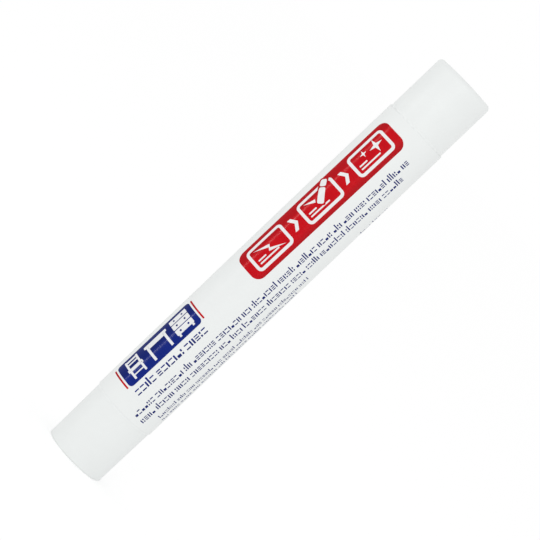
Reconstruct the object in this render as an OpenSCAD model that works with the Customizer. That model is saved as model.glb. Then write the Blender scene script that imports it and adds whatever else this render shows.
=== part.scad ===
// Furniture repair wax stick: a labelled barrel with a turning knob at the foot and a pull-off cap.
// Turning the knob turns a screw inside, which lifts a carrier and the wax cast into it.
// Millimetres. The stick stands on its knob, +Z runs up to the cap, and the print faces -Y.

/* [Outer sizes] */
// Height of the knob, from the foot to its seam
knob_len = 14.7; // [10:0.1:20]
// Height of the barrel, from the knob seam to the cap seam
barrel_len = 84; // [60:0.5:110]
// Height of the cap, from its seam to its closed end
cap_len = 14.5; // [12:0.5:20]
// Height of the neck that the cap slides over
neck_len = 6.5; // [5:0.5:8]
// Step from the barrel in to the cap, on the radius
cap_step = 0.15; // [0.05:0.05:0.5]
// Step from the barrel in to the rim of the knob, on the radius
knob_step = 0.09; // [0.05:0.02:0.45]
// Narrowing of the knob from its rim to its foot, on the radius
knob_draft = 0.14; // [0:0.02:0.3]

/* [Wax and feed] */
// Diameter of the cast wax
wax_d = 10.3; // [9.3:0.1:14]
// Depth of the wax tip inside the neck when the stick is wound down
tip_drop = 2; // [1:0.5:4]
// Outer diameter of the screw thread
screw_d = 4.2; // [3.8:0.1:4.6]
// Rise of the carrier for one turn of the knob
lead = 4.5; // [3:0.5:7]
// Depth of the thread
thread_h = 0.7; // [0.5:0.1:0.9]

/* [Walls] */
// Wall of the neck
neck_wall = 0.8; // [0.7:0.05:1.3]
// Side wall of the cap
cap_wall = 1; // [0.9:0.05:1.5]
// Closed end of the cap
cap_roof = 1.2; // [0.8:0.1:2]
// Side wall of the knob at its foot
knob_wall = 1.3; // [1.1:0.1:1.6]
// Closed foot of the knob
knob_floor = 1.4; // [1:0.1:2]
// Wall of the barrel around the collar of the knob
skirt_wall = 1.2; // [1:0.05:1.5]
// Wall across the barrel that the knob snaps into
bulkhead_t = 1.5; // [1:0.1:2.5]
// Thickness of the wrapped label
label_t = 0.1; // [0.05:0.05:0.3]

/* [Edges] */
// Rounding at the closed end of the cap
cap_edge = 1; // [0.4:0.1:1.8]
// Rise of the dome on the closed end of the cap
cap_dome = 0.22; // [0.1:0.02:0.4]
// Bevel at the foot of the knob
foot_edge = 0.15; // [0.1:0.05:0.5]
// Rounding at the tip of the wax
tip_edge = 1.2; // [0.4:0.1:2]

/* [Clearances] */
// Between the wax and the bore, on the radius
wax_gap = 0.2; // [0.15:0.05:0.4]
// Between the cap and the bead on the neck, on the radius
cap_gap = 0.05; // [0.02:0.01:0.1]
// Between the turning knob and the barrel, on the radius
turn_gap = 0.08; // [0.03:0.01:0.1]
// Between the carrier and the bore, and at the sides of the guide ribs
slide_gap = 0.1; // [0.06:0.02:0.14]
// Between the screw and the nut in the carrier
nut_gap = 0.25; // [0.15:0.05:0.3]

/* [Hidden] */
// Fine arcs, and the finer ones of the wide circle that domes the cap
$fn = 96;
dome_facets = 720;

// How far a cut runs past the face that it opens, and how deep a joined piece is rooted
cut = 1;
weld = 0.3;

// Gaps along the axis: at the two seams, at the thrust faces of the knob, and under the carrier
cap_seam = 0.02;
knob_seam = 0.02;
thrust_gap = 0.1;
rest_gap = 0.3;

// Gaps that hold: screw in its socket, wax in its cup, label on the barrel
press_gap = 0.05;
cast_gap = 0.05;
glue_gap = 0.02;

// Small bevel on the outer edges at both seams, and the lead-in at the neck and the cap
seam_bevel = 0.03;
lead_in = 0.35;

// Moulding marks: a nub under the foot of the knob, and one in a dish on the end of the cap
gate_nub_r = 0.5;
gate_nub = 0.15;
gate_dish_r = 1.7;
gate_dish = 0.25;

// Bead round the neck, which holds the cap by friction
bead_h = 0.15;
bead_round = 0.5;

// Radii, from the wax outwards
wax_r = wax_d / 2;
bore_r = wax_r + wax_gap;
neck_r = bore_r + neck_wall;
bead_r = neck_r + bead_h;
cap_bore_r = bead_r + cap_gap;
cap_r = cap_bore_r + cap_wall;
barrel_r = cap_r + cap_step;
rim_r = barrel_r - knob_step;
foot_r = rim_r - knob_draft;
label_r = barrel_r + glue_gap;

// Collar of the knob, which centres it in the skirt of the barrel, and the thick rim below it
skirt_r = barrel_r - skirt_wall;
collar_r = skirt_r - turn_gap;
collar_wall = 0.9;
collar_len = 3;
rim_len = 2;

// Hub of the knob: a journal that turns in the bulkhead, and a split barb that snaps through it
screw_r = screw_d / 2;
socket_wall = 0.65;
journal_r = screw_r + socket_wall;
hub_step = 1;
hub_r = journal_r + hub_step;
barb_step = 0.35;
barb_r = journal_r + barb_step;
barb_len = 1.2;
barb_slit = 0.7;

// Foot of the knob
foot_recess = 0.4;
foot_ring = 1.6;
floor_z = foot_recess + knob_floor;
web_t = 1;
web_count = 4;

// Screw thread: two starts, drawn as an oval that turns as it rises
thread_starts = 2;
thread_points = 12;
slices_per_turn = 10;
flange_t = 0.8;
flange_r = journal_r;
socket_floor = 1;
screw_stop = 2;

// Carrier: a nut below a cup
nut_len = 5;
nut_wall = 0.8;
nut_r = screw_r + nut_gap + nut_wall;
cup_r = bore_r - slide_gap;
cup_wall = 0.75;
cup_floor = 1.2;
cup_depth = 6;
well_gap = 0.3;
well_over = 1;

// Guide ribs in the bore, which keep the carrier and the wax from turning
rib_count = 4;
rib_w = 0.9;
rib_h = 0.5;
rib_end = 1;
rib_turn = 45;

// Levels, from the foot up
rim_z = knob_len - knob_seam;
collar_top = knob_len + collar_len;
bulkhead_z = collar_top + thrust_gap;
bulkhead_top = bulkhead_z + bulkhead_t;
barb_z = bulkhead_top + thrust_gap;
hub_top = barb_z + barb_len;
socket_z = floor_z + socket_floor;
shank_z = socket_z + press_gap;
thread_z = hub_top + flange_t / 2;
nut_z = hub_top + flange_t + rest_gap;
cup_z = nut_z + nut_len;
seat_z = cup_z + cup_floor;
cup_top = seat_z + cup_depth;
shoulder_z = knob_len + barrel_len;
screw_top = shoulder_z - screw_stop;
bead_z = shoulder_z + neck_len / 2;
mouth_z = shoulder_z + neck_len;
tip_z = mouth_z - tip_drop;
cap_z = shoulder_z + cap_seam;
top_z = shoulder_z + cap_len;
roof_z = top_z - cap_roof;

// Label: stops short of both seams, and its ends leave a strip bare at the back
label_inset = 0.02;
label_gap_angle = 11;
back_angle = 90;

// Colours
plastic = [0.93, 0.94, 0.94];
film = [0.97, 0.97, 0.97];
inner_plastic = [0.85, 0.86, 0.86];
wax_brown = [0.36, 0.2, 0.11];

// Half outline of a bar from level low to level high, rounded at its top edge
module rounded_bar(r, low, high, edge) {
  translate([0, low]) square([r, high - low - edge]);
  translate([0, low]) square([r - edge, high - low]);
  translate([r - edge, high - edge]) circle(edge);
}

// Half outline of a bar from level low to level high, rounded at its top edge and domed inside it
module domed_bar(r, low, high, edge, dome) {
  flat_r = r - edge;
  dome_r = (flat_r * flat_r + dome * dome) / (2 * dome);
  rounded_bar(r, low, high - dome, edge);
  intersection() {
    translate([0, high - dome - weld]) square([flat_r, dome + weld]);
    translate([0, high - dome_r]) circle(dome_r, $fn = dome_facets);
  }
}

// Half outline of a straight bar from level low to level high
module plain_bar(r, low, high) {
  translate([0, low]) square([r, high - low]);
}

// Section of the screw, grown by a clearance
module thread_section(gap) {
  mean_r = screw_r - thread_h / 2;
  polygon([
    for (i = [0 : thread_points - 1])
      let (a = i * 360 / thread_points, r = mean_r + thread_h / 2 * cos(thread_starts * a) + gap)
        [r * cos(a), r * sin(a)]
  ]);
}

// Thread from level low to level high, in step with every other length of it
module thread(low, high, gap) {
  turns = (high - low) / lead;
  translate([0, 0, low])
    rotate([0, 0, -360 * (low - thread_z) / lead])
      linear_extrude(
        height = high - low,
        twist = 360 * turns,
        slices = ceil(turns * slices_per_turn),
        $fn = thread_points
      )
        thread_section(gap);
}

// Bars of the guide ribs from level low to level high, grown by a clearance
module guide_bars(low, high, gap) {
  for (i = [0 : rib_count - 1])
    rotate([0, 0, rib_turn + i * 360 / rib_count])
      translate([bore_r - rib_h - gap, -rib_w / 2 - gap, low])
        cube([rib_h + gap + weld, rib_w + 2 * gap, high - low]);
}

// Shell of the knob: closed foot on a standing ring, thick rim, and the collar above it
module knob_shell() {
  rotate_extrude() {
    difference() {
      union() {
        polygon([
          [0, 0],
          [foot_r - foot_edge, 0],
          [foot_r, foot_edge],
          [rim_r, rim_z - seam_bevel],
          [rim_r - seam_bevel, rim_z],
          [0, rim_z]
        ]);
        plain_bar(collar_r, foot_edge, collar_top);
      }
      plain_bar(foot_r - foot_ring, -cut, foot_recess);
      plain_bar(foot_r - knob_wall, floor_z, rim_z - rim_len);
      plain_bar(collar_r - collar_wall, floor_z, collar_top + cut);
    }
    plain_bar(gate_nub_r, foot_recess - gate_nub, foot_recess + weld);
  }
}

// Hub of the knob: shoulder under the bulkhead, journal through it, barb above it
module knob_hub() {
  rotate_extrude()
    polygon([
      [0, floor_z - weld],
      [hub_r, floor_z - weld],
      [hub_r, bulkhead_z - thrust_gap],
      [journal_r, bulkhead_z - thrust_gap],
      [journal_r, barb_z],
      [barb_r, barb_z],
      [journal_r, hub_top],
      [0, hub_top]
    ]);
}

// Webs that carry the turning force from the shell to the hub
module knob_webs() {
  for (i = [0 : web_count - 1])
    rotate([0, 0, i * 360 / web_count])
      translate([hub_r - weld, -web_t / 2, floor_z - weld])
        cube([foot_r - knob_wall - hub_r + 2 * weld, web_t, rim_z - rim_len - floor_z]);
}

module base_knob() {
  color(plastic)
    difference() {
      union() {
        knob_shell();
        knob_hub();
        knob_webs();
      }
      // Oval socket for the shank of the screw
      translate([0, 0, socket_z])
        linear_extrude(hub_top - socket_z + cut)
          thread_section(press_gap);
      // Slit that lets the two halves of the barb bend inwards
      translate([-barb_r - cut, -barb_slit / 2, bulkhead_z])
        cube([2 * (barb_r + cut), barb_slit, hub_top - bulkhead_z + cut]);
    }
}

module lead_screw() {
  color(inner_plastic) {
    translate([0, 0, shank_z])
      linear_extrude(thread_z - shank_z)
        thread_section(0);
    translate([0, 0, hub_top])
      cylinder(r = flange_r, h = flange_t);
    thread(thread_z, screw_top, 0);
  }
}

module barrel() {
  color(plastic) {
    rotate_extrude()
      difference() {
        union() {
          polygon([
            [0, knob_len],
            [barrel_r - seam_bevel, knob_len],
            [barrel_r, knob_len + seam_bevel],
            [barrel_r, shoulder_z - seam_bevel],
            [barrel_r - seam_bevel, shoulder_z],
            [neck_r, shoulder_z],
            [neck_r, mouth_z - lead_in],
            [neck_r - lead_in, mouth_z],
            [0, mouth_z]
          ]);
          translate([bead_r - bead_round, bead_z]) circle(bead_round);
        }
        plain_bar(skirt_r, knob_len - cut, bulkhead_z);
        plain_bar(journal_r + turn_gap, bulkhead_z - cut, bulkhead_top + cut);
        plain_bar(bore_r, bulkhead_top, mouth_z + cut);
      }
    guide_bars(bulkhead_top - weld, mouth_z - rib_end, 0);
  }
}

module carrier() {
  color(inner_plastic)
    difference() {
      rotate_extrude()
        difference() {
          union() {
            plain_bar(nut_r, nut_z, cup_z + cup_floor / 2);
            plain_bar(cup_r, cup_z, cup_top);
          }
          plain_bar(cup_r - cup_wall, seat_z, cup_top + cut);
        }
      thread(nut_z - cut, seat_z + cut, nut_gap);
      guide_bars(cup_z - cut, cup_top + cut, slide_gap);
    }
}

module wax_stick() {
  color(wax_brown)
    difference() {
      rotate_extrude() {
        plain_bar(cup_r - cup_wall - cast_gap, seat_z, cup_top + weld);
        rounded_bar(wax_r, cup_top, tip_z, tip_edge);
      }
      // Well that keeps the wax clear of the screw
      translate([0, 0, seat_z - cut])
        cylinder(r = screw_r + well_gap, h = screw_top + well_over - seat_z + cut);
      guide_bars(seat_z - cut, tip_z + cut, slide_gap);
    }
}

module label() {
  color(film)
    rotate([0, 0, back_angle + label_gap_angle / 2])
      rotate_extrude(angle = 360 - label_gap_angle)
        translate([label_r, knob_len + label_inset])
          square([label_t, barrel_len - 2 * label_inset]);
}

module cap() {
  color(plastic)
    rotate_extrude() {
      difference() {
        domed_bar(cap_r, cap_z, top_z, cap_edge, cap_dome);
        plain_bar(cap_bore_r, cap_z - cut, roof_z);
        // Lead-in at the mouth
        polygon([
          [0, cap_z - cut],
          [cap_bore_r + lead_in + cut, cap_z - cut],
          [cap_bore_r, cap_z + lead_in],
          [0, cap_z + lead_in]
        ]);
        // Bevel round the mouth
        polygon([
          [cap_r - seam_bevel - cut, cap_z - cut],
          [cap_r + cut, cap_z - cut],
          [cap_r + cut, cap_z + seam_bevel + cut]
        ]);
        plain_bar(gate_dish_r, top_z - gate_dish, top_z + cut);
      }
      plain_bar(gate_nub_r, top_z - gate_dish - weld, top_z - gate_dish + gate_nub);
    }
}

base_knob();
lead_screw();
barrel();
carrier();
wax_stick();
label();
cap();
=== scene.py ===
import math
import random

import bmesh
import bpy
from mathutils import Matrix, Quaternion, Vector


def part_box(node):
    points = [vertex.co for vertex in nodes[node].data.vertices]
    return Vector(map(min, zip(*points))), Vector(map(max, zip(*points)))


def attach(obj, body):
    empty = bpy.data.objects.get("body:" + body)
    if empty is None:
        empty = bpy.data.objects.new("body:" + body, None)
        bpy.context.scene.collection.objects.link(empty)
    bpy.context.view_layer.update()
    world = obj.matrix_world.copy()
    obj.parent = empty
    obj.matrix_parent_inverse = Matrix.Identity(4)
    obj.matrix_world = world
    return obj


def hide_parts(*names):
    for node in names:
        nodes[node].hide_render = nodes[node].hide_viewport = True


# Furniture repair wax stick: white barrel, knob and cap, and a glossy wrapped label with generic print.
# The moulded pieces and the wax are the solids themselves.
# The label is made here: a film round the barrel, and the inks as thin coats on the film.
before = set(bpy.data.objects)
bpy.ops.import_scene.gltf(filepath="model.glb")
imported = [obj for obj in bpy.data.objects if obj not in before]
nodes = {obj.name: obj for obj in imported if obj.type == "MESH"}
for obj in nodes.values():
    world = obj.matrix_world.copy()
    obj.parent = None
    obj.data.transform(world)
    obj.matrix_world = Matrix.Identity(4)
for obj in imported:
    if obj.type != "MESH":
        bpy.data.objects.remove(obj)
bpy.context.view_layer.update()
scene = bpy.context.scene

mm = 0.001
degree = math.pi / 180

# Sizes taken over from the solids
label_low, label_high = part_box("label")
cap_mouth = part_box("cap")[0].z
stick_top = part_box("cap")[1].z
label_radius = -label_low.y
label_length = label_high.z - label_low.z
label_middle = (label_low.z + label_high.z) / 2

# Coats of ink. All of them are rooted in the film, and each stands out further than the one before it
ink_coats = 4
spare_coats = 0.5
ink_coat = 0.005 * mm
ink_root = 0.004 * mm

# Label film, which leaves room for the coats of ink inside the outer radius of the label
film_wall = 0.07 * mm
film_radius = label_radius - (ink_coats + spare_coats) * ink_coat
film_steps = 240

# The film laps over the seams at both of its ends, and leaves a narrow gap down the back
film_lap = 0.07 * mm
film_gap = 11 * degree

# The print is cut into strips before it is bent, and sits a little askew on the barrel
strip_height = 0.3 * mm
strip_length = 8.7 * mm
cut_slack = 0.0001 * mm
print_skew = 0.75 * degree

# Faces that meet at less than this angle shade as one smooth surface
smooth_limit = 30 * degree


# Helpers for pieces

def unit_square(shape, matrix):
    """Adds a square with sides of 1, sized and placed by a matrix, and returns its corners."""
    return bmesh.ops.create_grid(shape, x_segments=1, y_segments=1, size=0.5, matrix=matrix)["verts"]


def add_piece(name, shape, finish, body, node=None):
    """Makes a piece of the stick from a finished shape, and lets it ride on a body."""
    for face in shape.faces:
        face.smooth = True
    for edge in shape.edges:
        edge.smooth = edge.calc_face_angle(0) < smooth_limit
    mesh = bpy.data.meshes.new(name)
    shape.to_mesh(mesh)
    shape.free()
    mesh.materials.append(finish)
    piece = bpy.data.objects.new(name, mesh)
    scene.collection.objects.link(piece)
    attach(piece, body)
    if node:
        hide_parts(node)


# Helpers for the print. It is drawn flat, in millimetres, and then bent round the barrel.
# On the flat sheet x runs along the barrel towards the cap, and y runs up the print.

def spot(along, up):
    """Returns the matrix that moves a shape to a place on the flat sheet."""
    return Matrix.Translation((along * mm, up * mm, 0))


def bar(sheet, along, up, length, height, corner=0.0, turn=0.0, corner_steps=3):
    """Draws a bar about its middle, with rounded corners, and returns its face."""
    size = Matrix.Diagonal((length * mm, height * mm, 1, 1))
    points = unit_square(sheet, spot(along, up) @ Matrix.Rotation(turn, 4, "Z") @ size)
    if corner:
        rounded = bmesh.ops.bevel(
            sheet,
            geom=points,
            offset=corner * mm,
            offset_type="OFFSET",
            segments=corner_steps,
            profile=0.5,
            affect="VERTICES",
            material=-1,
        )
        points = rounded["verts"]
    return points[0].link_faces[0]


def hoop(sheet, along, up, length, height, corner, line):
    """Draws a line of even width just inside the edge of a bar with rounded corners."""
    face = bar(sheet, along, up, length, height, corner, corner_steps=6)
    bmesh.ops.inset_individual(sheet, faces=[face], thickness=line * mm, use_even_offset=True)
    bmesh.ops.delete(sheet, geom=[face], context="FACES_ONLY")


def disc(sheet, along, up, radius, corners=16):
    """Draws a disc about its middle, and returns its points."""
    made = bmesh.ops.create_circle(
        sheet,
        cap_ends=True,
        segments=corners,
        radius=radius * mm,
        matrix=spot(along, up),
    )
    return made["verts"]


def outline(sheet, along, up, corners):
    """Draws a flat shape from its corners, which are given about its middle."""
    points = [sheet.verts.new(((along + x) * mm, (up + y) * mm, 0)) for x, y in corners]
    sheet.faces.new(points)


def cut_into_strips(sheet, across, step):
    """Cuts the flat print square to a direction, a step apart."""
    places = [point.co.dot(across) for point in sheet.verts]
    for number in range(math.ceil(min(places) / step), math.ceil(max(places) / step)):
        bmesh.ops.bisect_plane(
            sheet,
            geom=sheet.verts[:] + sheet.edges[:] + sheet.faces[:],
            dist=cut_slack,
            plane_co=across * number * step,
            plane_no=across,
        )


def bend_round_barrel(sheet, coat):
    """Gives the flat print the thickness of its coat, and wraps it round the barrel."""
    cut_into_strips(sheet, Vector((0, 1, 0)), strip_height)
    cut_into_strips(sheet, Vector((1, 0, 0)), strip_length)
    raised = bmesh.ops.extrude_face_region(sheet, geom=sheet.faces[:], use_keep_orig=True)
    raised_points = [part for part in raised["geom"] if isinstance(part, bmesh.types.BMVert)]
    bmesh.ops.translate(sheet, verts=raised_points, vec=(0, 0, ink_root + coat * ink_coat))
    bmesh.ops.recalc_face_normals(sheet, faces=sheet.faces)
    for point in sheet.verts:
        along, up, off = point.co
        up -= (along - label_middle) * math.tan(print_skew)
        turn = -up / label_radius
        reach = film_radius - ink_root + off
        point.co = (reach * math.sin(turn), -reach * math.cos(turn), along)


def print_piece(name, sheet, coat, ink):
    """Bends a drawn sheet round the barrel, and adds it to the label."""
    bend_round_barrel(sheet, coat)
    add_piece(name, sheet, ink, "barrel")


# Small print

# Kinds of mark: the width in strokes, and the spans that are inked, in shares of the height.
# The plain stem is listed twice, so that it comes up more often.
mark_kinds = (
    (1, ((0, 1),)),
    (1, ((0, 1),)),
    (1, ((0, 1.5),)),
    (1, ((0, 0.35), (0.6, 1))),
    (2.7, ((0, 0.22), (0.78, 1))),
    (2.7, ((0, 0.2), (0.4, 0.6), (0.8, 1))),
    (2.4, ((0, 0.5),)),
)

# How many marks stand in a group, and the gaps after a mark and after a group, in shares of the height
fewest_marks = 4
most_marks = 10
mark_gap = 0.23
group_gap = 0.4


def line_of_marks(sheet, start, end, base, height, weight, seed):
    """Fills a line with groups of stems, dashes and blocks."""
    dice = random.Random(seed)
    place = start
    marks_left = dice.randint(fewest_marks, most_marks)
    while place < end - height:
        strokes, spans = dice.choice(mark_kinds)
        width = strokes * weight * height
        for low, high in spans:
            middle = base + (low + high) / 2 * height
            bar(sheet, place + width / 2, middle, length=width, height=(high - low) * height)
        place += width + height * mark_gap
        marks_left -= 1
        if marks_left == 0:
            marks_left = dice.randint(fewest_marks, most_marks)
            place += height * group_gap


# Pictures, each drawn about its middle

def chair(sheet, along, up):
    """Draws a chair from the front: two posts, the ends of the seat, and the rails between the posts."""
    for side in (-1, 1):
        bar(sheet, along + side * 1.45, up, length=0.5, height=5.2, corner=0.15)
        bar(sheet, along + side * 1.75, up - 0.3, length=0.5, height=0.8, corner=0.08)
    for level, height in ((2.1, 0.6), (1.15, 0.4), (-0.3, 0.8), (-1.7, 0.3)):
        bar(sheet, along, up + level, length=2.6, height=height)


def table(sheet, along, up):
    """Draws a table from the front: the top, the rail below it, and two legs."""
    bar(sheet, along, up + 1.6, length=6.2, height=0.8, corner=0.25)
    bar(sheet, along, up + 1.0, length=4.4, height=0.8)
    for side in (-1, 1):
        bar(sheet, along + side * 2.35, up - 0.6, length=0.6, height=4.0)


def drawers(sheet, handles, along, up):
    """Draws a chest of three drawers on two feet, with the handles on a sheet of their own."""
    for level in (1.78, 0.2, -1.38):
        bar(sheet, along, up + level, length=4.6, height=1.36, corner=0.15)
        for side in (-1, 1):
            disc(handles, along + side * 1.1, up + level, radius=0.24)
    for side in (-1, 1):
        bar(sheet, along + side * 1.8, up - 2.34, length=0.5, height=0.52)


def board(sheet, along, up):
    """Draws a board from above: its edge, and two lines of grain at one side."""
    hoop(sheet, along, up, length=9.8, height=5.8, corner=1.1, line=0.7)
    bar(sheet, along - 1.0, up - 1.45, length=5.2, height=0.34, corner=0.14)
    bar(sheet, along - 2.5, up - 0.7, length=2.1, height=0.34, corner=0.14)


def gouge(sheet, along, up):
    """Draws a deep scratch, pointed at both ends, with a break in its middle."""
    half = ((-3.3, 1.8), (0.5, 0.6), (0.1, -0.1))
    other_half = tuple((-x, -y) for x, y in half)
    outline(sheet, along, up, half + other_half)


def half_gouge(sheet, along, up):
    """Draws the half of a scratch that is still open."""
    outline(sheet, along, up, ((-3.3, 1.8), (-0.6, 0.95), (-0.9, 0.25)))


def stick(sheet, along, up, grow=0):
    """Draws a leaning wax stick and its cap, or the same grown, as the clear edge round them."""
    lean = 45 * degree
    for middle, length in ((-0.95, 3.6), (1.95, 1.7)):
        bar(
            sheet,
            along + middle * math.cos(lean),
            up + middle * math.sin(lean),
            length=length + grow,
            height=1.5 + grow,
            corner=0.4,
            turn=lean,
        )


def arrow(sheet, along, up):
    """Draws an arrow head that points towards the cap."""
    upper_edge = ((-0.95, 1.6), (-0.05, 1.6), (0.95, 0))
    lower_edge = ((-0.05, -1.6), (-0.95, -1.6), (0.05, 0))
    outline(sheet, along, up, upper_edge + lower_edge)


def gleam(sheet, along, up, size):
    """Draws a four-pointed gleam: a disc of eight corners, with every second one drawn in."""
    points = disc(sheet, along, up, size, corners=8)
    bmesh.ops.scale(sheet, vec=(0.3, 0.3, 1), space=spot(along, up).inverted(), verts=points[1::2])


# Helpers for finishes

def new_finish(name):
    """Starts a material, and returns it with its node tree and its shader."""
    finish = bpy.data.materials.new(name)
    finish.use_nodes = True
    tree = finish.node_tree
    return finish, tree, tree.nodes["Principled BSDF"]


def object_place(tree):
    """Returns the place on the object, in metres."""
    return tree.nodes.new("ShaderNodeTexCoord").outputs["Object"]


def speckle(tree, per_metre, detail, stretch=(1, 1, 1)):
    """Adds a noise pattern, and returns its value."""
    mapping = tree.nodes.new("ShaderNodeMapping")
    mapping.inputs["Scale"].default_value = stretch
    noise = tree.nodes.new("ShaderNodeTexNoise")
    noise.inputs["Scale"].default_value = per_metre
    noise.inputs["Detail"].default_value = detail
    tree.links.new(object_place(tree), mapping.inputs["Vector"])
    tree.links.new(mapping.outputs["Vector"], noise.inputs["Vector"])
    return noise.outputs["Fac"]


def spread(tree, value, across=(0, 1), onto=(0, 1)):
    """Maps a value from one range onto another, held at the ends, and returns it."""
    reach = tree.nodes.new("ShaderNodeMapRange")
    reach.inputs["From Min"].default_value, reach.inputs["From Max"].default_value = across
    reach.inputs["To Min"].default_value, reach.inputs["To Max"].default_value = onto
    tree.links.new(value, reach.inputs["Value"])
    return reach.outputs["Result"]


def combine(tree, kind, first, second):
    """Combines two values by a sum of the named kind, and returns the result."""
    sum_node = tree.nodes.new("ShaderNodeMath")
    sum_node.operation = kind
    tree.links.new(first, sum_node.inputs[0])
    tree.links.new(second, sum_node.inputs[1])
    return sum_node.outputs["Value"]


def tint(tree, share, base, colour):
    """Tints a base, which is a colour or a node's output, towards a colour, and returns the result."""
    mix = tree.nodes.new("ShaderNodeMix")
    mix.data_type = "RGBA"
    first, second = [socket for socket in mix.inputs if socket.type == "RGBA"]
    if isinstance(base, tuple):
        first.default_value = (*base, 1)
    else:
        tree.links.new(base, first)
    second.default_value = (*colour, 1)
    tree.links.new(share, mix.inputs["Factor"])
    return [socket for socket in mix.outputs if socket.type == "RGBA"][0]


def ripple(tree, shader, height, strength, depth):
    """Lets a pattern stand up from the surface as a shallow bump."""
    bump = tree.nodes.new("ShaderNodeBump")
    bump.inputs["Strength"].default_value = strength
    bump.inputs["Distance"].default_value = depth
    tree.links.new(height, bump.inputs["Height"])
    tree.links.new(bump.outputs["Normal"], shader.inputs["Normal"])


def near_level(tree, level, reach):
    """Returns 1 at a level of the stick, falling to 0 within a reach above and below it."""
    split = tree.nodes.new("ShaderNodeSeparateXYZ")
    tree.links.new(object_place(tree), split.inputs["Vector"])
    above = spread(tree, split.outputs["Z"], (level, level + reach), (1, 0))
    below = spread(tree, split.outputs["Z"], (level - reach, level))
    return combine(tree, "MULTIPLY", above, below)


def round_angle(tree):
    """Returns the angle round the barrel, from the front towards +X, in radians."""
    turned = tree.nodes.new("ShaderNodeMapping")
    turned.inputs["Rotation"].default_value = (0, 0, 90 * degree)
    split = tree.nodes.new("ShaderNodeSeparateXYZ")
    tree.links.new(object_place(tree), turned.inputs["Vector"])
    tree.links.new(turned.outputs["Vector"], split.inputs["Vector"])
    return combine(tree, "ARCTAN2", split.outputs["Y"], split.outputs["X"])


# Finishes

# The range that most of a noise pattern lies in
noise_range = (0.35, 0.65)

# How far the painted light reaches from the seams, where the plastic is made paler to offset the shade
# of the steps
painted_light_reach = 0.6 * mm

# Dust at the seam below the cap
dust_grey = (0.45, 0.45, 0.44)
dust_most = 0.08

# Angles round the barrel between which the coloured inks darken, above and below the middle of the
# print: painted shade, in place of the shading of the light round the barrel
upper_shade_band = (-40 * degree, -34 * degree)
lower_shade_band = (-7 * degree, 1 * degree)


def seam_dust(tree, base, level, reach):
    """Dusts a colour in broken patches near a seam, and returns it."""
    patches = spread(tree, speckle(tree, per_metre=420, detail=4), (0.5, 0.72), (0, dust_most))
    share = combine(tree, "MULTIPLY", patches, near_level(tree, level, reach))
    return tint(tree, share, base, dust_grey)


def moulded_plastic(name, colour, shade, roughness, painted_light_colour=None):
    """Satin plastic, cloudy and finely textured; given a rim colour, it is also made paler at both seams
    with painted light against the shade of the steps, and dusty at the seam below the cap.
    """
    finish, tree, shader = new_finish(name)
    cloud = spread(tree, speckle(tree, per_metre=140, detail=3), noise_range)
    base = tint(tree, cloud, colour, shade)
    if painted_light_colour:
        # Painted light: paler plastic beside the knob's and the cap's seams, which offsets the shade in
        # the steps there
        knob_painted_light = near_level(tree, label_low.z, painted_light_reach)
        cap_painted_light = near_level(tree, cap_mouth, painted_light_reach)
        base = tint(tree, combine(tree, "MAXIMUM", knob_painted_light, cap_painted_light), base, painted_light_colour)
        base = seam_dust(tree, base, cap_mouth, reach=0.3 * mm)
    tree.links.new(base, shader.inputs["Base Color"])
    sheen = speckle(tree, per_metre=700, detail=2)
    roughness_range = (roughness - 0.06, roughness + 0.06)
    tree.links.new(spread(tree, sheen, (0.3, 0.7), roughness_range), shader.inputs["Roughness"])
    texture = speckle(tree, per_metre=3200, detail=3)
    ripple(tree, shader, texture, strength=0.25, depth=0.01 * mm)
    shader.inputs["IOR"].default_value = 1.49
    return finish


def cast_wax(name, colour, shade):
    """Filler wax: mottled, soft and dull, with fine drag marks along the stick."""
    finish, tree, shader = new_finish(name)
    mottle = spread(tree, speckle(tree, per_metre=350, detail=5), (0.35, 0.68))
    tree.links.new(tint(tree, mottle, colour, shade), shader.inputs["Base Color"])
    drag = speckle(tree, per_metre=900, detail=3, stretch=(1, 1, 0.08))
    tree.links.new(spread(tree, drag, (0.3, 0.7), (0.38, 0.58)), shader.inputs["Roughness"])
    ripple(tree, shader, drag, strength=0.35, depth=0.04 * mm)
    shader.inputs["Subsurface Weight"].default_value = 0.12
    shader.inputs["Subsurface Radius"].default_value = (1.0, 0.5, 0.3)
    shader.inputs["Subsurface Scale"].default_value = 1.2 * mm
    return finish


def glossy_coat(tree, shader, roughness, gloss):
    """Gives film and ink their surface: fine scuffs along the barrel, and the slow waves of a wrap."""
    scuffs = speckle(tree, per_metre=2200, detail=4, stretch=(1, 1, 0.03))
    roughness_range = (roughness, roughness + 0.04)
    tree.links.new(spread(tree, scuffs, (0.35, 0.75), roughness_range), shader.inputs["Roughness"])
    waves = speckle(tree, per_metre=260, detail=2, stretch=(1, 1, 0.35))
    ripple(tree, shader, waves, strength=0.3, depth=0.03 * mm)
    shader.inputs["Specular IOR Level"].default_value = gloss


def wrapped_film(name, colour, shade, gloss):
    """Label film, with a little dust held by the glue at its edge near the cap."""
    finish, tree, shader = new_finish(name)
    cloud = spread(tree, speckle(tree, per_metre=90, detail=3), noise_range)
    base = seam_dust(tree, tint(tree, cloud, colour, shade), label_high.z, reach=0.25 * mm)
    tree.links.new(base, shader.inputs["Base Color"])
    glossy_coat(tree, shader, roughness=0.3, gloss=gloss)
    return finish


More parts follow.
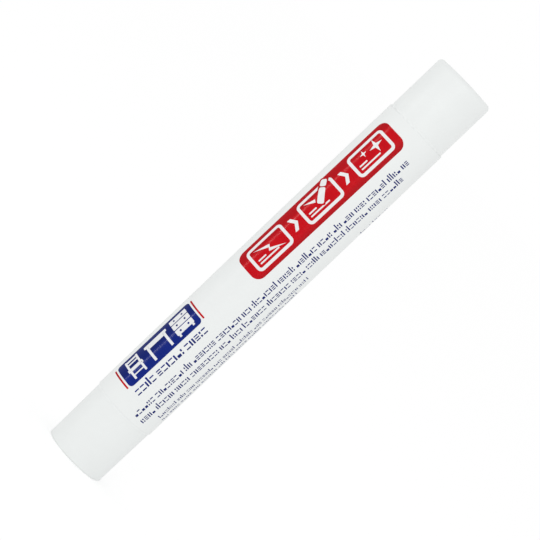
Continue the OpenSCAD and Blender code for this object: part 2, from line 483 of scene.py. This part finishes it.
def printed_ink(name, colour, shade, gloss, painted_shade_colour=None):
    """Flat ink in faint lines round the barrel, which may be darkened with painted shade in two bands of
    the print.
    """
    finish, tree, shader = new_finish(name)
    lines = speckle(tree, per_metre=1500, detail=4, stretch=(0.06, 0.06, 1))
    base = tint(tree, spread(tree, lines, noise_range), colour, shade)
    if painted_shade_colour:
        # Painted shade: the ink is darkened towards its shade colour in a band above and a band below
        # the middle of the print
        angle = round_angle(tree)
        upper_shade = spread(tree, angle, upper_shade_band, (1, 0))
        lower_shade = spread(tree, angle, lower_shade_band)
        base = tint(tree, combine(tree, "MAXIMUM", upper_shade, lower_shade), base, painted_shade_colour)
    tree.links.new(base, shader.inputs["Base Color"])
    glossy_coat(tree, shader, roughness=0.14, gloss=gloss)
    return finish


white_plastic = moulded_plastic(
    "white_plastic",
    colour=(0.862, 0.885, 0.877),
    shade=(0.85, 0.873, 0.866),
    roughness=0.42,
    # Painted light beside the seams, against the shade of the steps
    painted_light_colour=(0.95, 0.968, 0.962),
)
inner_plastic = moulded_plastic(
    "inner_plastic",
    colour=(0.70, 0.71, 0.70),
    shade=(0.66, 0.67, 0.66),
    roughness=0.5,
)
wax = cast_wax(
    "wax",
    colour=(0.115, 0.047, 0.02),
    shade=(0.075, 0.029, 0.012),
)
film_finish = wrapped_film(
    "label_film",
    colour=(0.87, 0.891, 0.884),
    shade=(0.86, 0.881, 0.875),
    gloss=0.07,
)
red_ink = printed_ink(
    "red_ink",
    colour=(0.59, 0.004, 0.01),
    shade=(0.54, 0.003, 0.009),
    gloss=0.07,
    # The band colour is painted shade on the red ink
    painted_shade_colour=(0.45, 0.004, 0.009),
)
navy_ink = printed_ink(
    "navy_ink",
    colour=(0.005, 0.019, 0.222),
    shade=(0.003, 0.016, 0.195),
    gloss=0.1,
    # The band colour is painted shade on the navy ink
    painted_shade_colour=(0.004, 0.014, 0.15),
)
white_ink = printed_ink(
    "white_ink",
    colour=(0.85, 0.86, 0.865),
    shade=(0.84, 0.85, 0.855),
    gloss=0.07,
)

finish_of_node = {
    "base_knob": white_plastic,
    "barrel": white_plastic,
    "cap": white_plastic,
    "lead_screw": inner_plastic,
    "carrier": inner_plastic,
    "wax_stick": wax,
}
for node, finish in finish_of_node.items():
    nodes[node].data.materials.clear()
    nodes[node].data.materials.append(finish)

# Label film, spun round the barrel from a thin upright strip
film = bmesh.new()
film_size = Matrix.Diagonal((film_wall, label_length + 2 * film_lap, 1, 1))
upright = Matrix.Rotation(90 * degree, 4, "X")
film_place = Matrix.Translation((film_radius - film_wall / 2, 0, label_middle))
film_start = Matrix.Rotation(90 * degree + film_gap / 2, 4, "Z")
unit_square(film, film_start @ film_place @ upright @ film_size)
bmesh.ops.spin(
    film,
    geom=film.faces[:],
    cent=(0, 0, 0),
    axis=(0, 0, 1),
    dvec=(0, 0, 0),
    angle=2 * math.pi - film_gap,
    steps=film_steps,
    use_merge=False,
    use_duplicate=False,
)
bmesh.ops.recalc_face_normals(film, faces=film.faces)
add_piece("label_film", film, film_finish, "barrel", "label")

# Places and sizes on the label, in millimetres along the stick and up the print from its front line
red_along = 74.7
red_up = 3.65
red_length = 41.9
red_height = 7.95
navy_along = 29.85
navy_up = 4.98
navy_length = 20.4
navy_height = 6.6
end_bar_offset = 10.8
furniture_pitch = 6.6
board_pitch = 14.2

# Lines of small print: start and end along the stick, base up the print, height, weight of the strokes
# in shares of the height, and seed
small_lines = (
    (19.7, 39.9, -0.62, 1.25, 0.32, 3),
    (16.2, 94.0, -3.72, 1.04, 0.26, 11),
    (16.1, 90.6, -5.9, 1.04, 0.26, 7),
    (19.2, 62.4, -8.5, 0.8, 0.26, 23),
    (19.0, 58.6, -10.35, 0.85, 0.26, 31),
    (75.8, 84.6, -11.2, 1.1, 0.25, 43),
)

# First coat: the two panels, the bars at the ends of the navy one, and the small print
red_shapes = bmesh.new()
bar(red_shapes, red_along, red_up, red_length, red_height, corner=2.0, corner_steps=10)
for side in (-1, 1):
    bar(red_shapes, navy_along + side * end_bar_offset, navy_up, length=0.4, height=6.0, corner=0.15)
print_piece("red_shapes", red_shapes, 1, red_ink)

navy_panel = bmesh.new()
bar(navy_panel, navy_along, navy_up, navy_length, navy_height, corner=0.9, corner_steps=8)
print_piece("navy_panel", navy_panel, 1, navy_ink)

small_print = bmesh.new()
for small_line in small_lines:
    line_of_marks(small_print, *small_line)
print_piece("small_print", small_print, 1, navy_ink)

# Second coat: white pictures on both panels. Third coat: marks on them. Fourth coat: the stick in use
white_pictures = bmesh.new()
red_marks = bmesh.new()
navy_marks = bmesh.new()
white_stick = bmesh.new()

chair(white_pictures, navy_along - furniture_pitch, navy_up)
table(white_pictures, navy_along, navy_up)
drawers(white_pictures, navy_marks, navy_along + furniture_pitch, navy_up)

# Three boards in a row: scratched, half filled and mended
scratched_along = red_along - board_pitch
filled_along = red_along
mended_along = red_along + board_pitch
for board_along in (scratched_along, filled_along, mended_along):
    board(white_pictures, board_along, red_up)
for side in (-1, 1):
    arrow(white_pictures, red_along + side * board_pitch / 2, red_up)

gouge(white_pictures, scratched_along, red_up)
half_gouge(white_pictures, filled_along, red_up)
stick(red_marks, filled_along + 1.6, red_up + 1.3, grow=0.7)
stick(white_stick, filled_along + 1.6, red_up + 1.3)
gleam(white_pictures, mended_along + 1.9, red_up + 0.5, size=1.7)
gleam(white_pictures, mended_along - 1.2, red_up + 1.0, size=0.9)

print_piece("white_pictures", white_pictures, 2, white_ink)
print_piece("red_marks", red_marks, 3, red_ink)
print_piece("navy_marks", navy_marks, 3, navy_ink)
print_piece("white_stick_picture", white_stick, 4, white_ink)

# Floor: matt and pale, and white to the camera where nothing shades it
floor_reach = 6
floor_glow = 0.08
floor_glow_seen = 0.2
floor_shape = bmesh.new()
bmesh.ops.create_grid(floor_shape, x_segments=1, y_segments=1, size=floor_reach)
floor_mesh = bpy.data.meshes.new("floor")
floor_shape.to_mesh(floor_mesh)
floor_shape.free()
floor = bpy.data.objects.new("floor", floor_mesh)
scene.collection.objects.link(floor)
floor_finish, tree, shader = new_finish("floor")
shader.inputs["Base Color"].default_value = (0.92, 0.92, 0.92, 1)
shader.inputs["Roughness"].default_value = 0.9
shader.inputs["Specular IOR Level"].default_value = 0
shader.inputs["Emission Color"].default_value = (1, 1, 1, 1)
rays = tree.nodes.new("ShaderNodeLightPath")
glow = spread(tree, rays.outputs["Is Camera Ray"], onto=(floor_glow, floor_glow_seen))
tree.links.new(glow, shader.inputs["Emission Strength"])
floor_mesh.materials.append(floor_finish)

# Studio: an even white surround, white where it is seen and a little dimmer as a light
surround_light = 0.865
surround_seen = 1
world = bpy.data.worlds.new("studio")
scene.world = world
world.use_nodes = True
tree = world.node_tree
surround = tree.nodes["Background"]
surround.inputs["Color"].default_value = (1, 1, 1, 1)
rays = tree.nodes.new("ShaderNodeLightPath")
seen = combine(tree, "MAXIMUM", rays.outputs["Is Camera Ray"], rays.outputs["Is Glossy Ray"])
seen = combine(tree, "MAXIMUM", seen, rays.outputs["Is Transmission Ray"])
strength = spread(tree, seen, onto=(surround_light, surround_seen))
tree.links.new(strength, surround.inputs["Strength"])


# Lamps

def add_lamp(name, place, size, power):
    """Adds a soft rectangular lamp that points at the middle of the stick."""
    lamp = bpy.data.lights.new(name, "AREA")
    lamp.shape = "RECTANGLE"
    lamp.size, lamp.size_y = size
    lamp.energy = power
    holder = bpy.data.objects.new(name, lamp)
    holder.location = place
    towards = Vector((0, 0, stick_top / 2)) - Vector(place)
    holder.rotation_euler = towards.to_track_quat("-Z", "Y").to_euler()
    scene.collection.objects.link(holder)
    return holder


add_lamp("front_lamp", place=(-0.07, -0.8, 0.2), size=(0.5, 0.5), power=0.8)

# A narrow strip, which only shows as a streak along the gloss of the label
strip_lamp = add_lamp("strip_lamp", place=(-0.118, -0.0547, 0.049), size=(0.0026, 0.098), power=0.034)
strip_lamp.visible_diffuse = False
strip_lamp.visible_camera = False

# Camera, which leans so that the stick lies on the diagonal of the picture
camera_distance = 600 * mm
camera_rise = 5 * degree
camera_lean = 46.38 * degree
camera_aim = Vector((0.02 * mm, 0, 56.78 * mm))
optics = bpy.data.cameras.new("camera")
optics.sensor_width = 36
optics.lens = 192.1
optics.clip_start = 10 * mm
camera = bpy.data.objects.new("camera", optics)
back = Vector((0, -math.cos(camera_rise), math.sin(camera_rise)))
camera.location = camera_aim + camera_distance * back
camera.rotation_mode = "QUATERNION"
camera.rotation_quaternion = (-back).to_track_quat("-Z", "Y") @ Quaternion((0, 0, 1), camera_lean)
scene.collection.objects.link(camera)
scene.camera = camera
scene.view_settings.view_transform = "Standard"
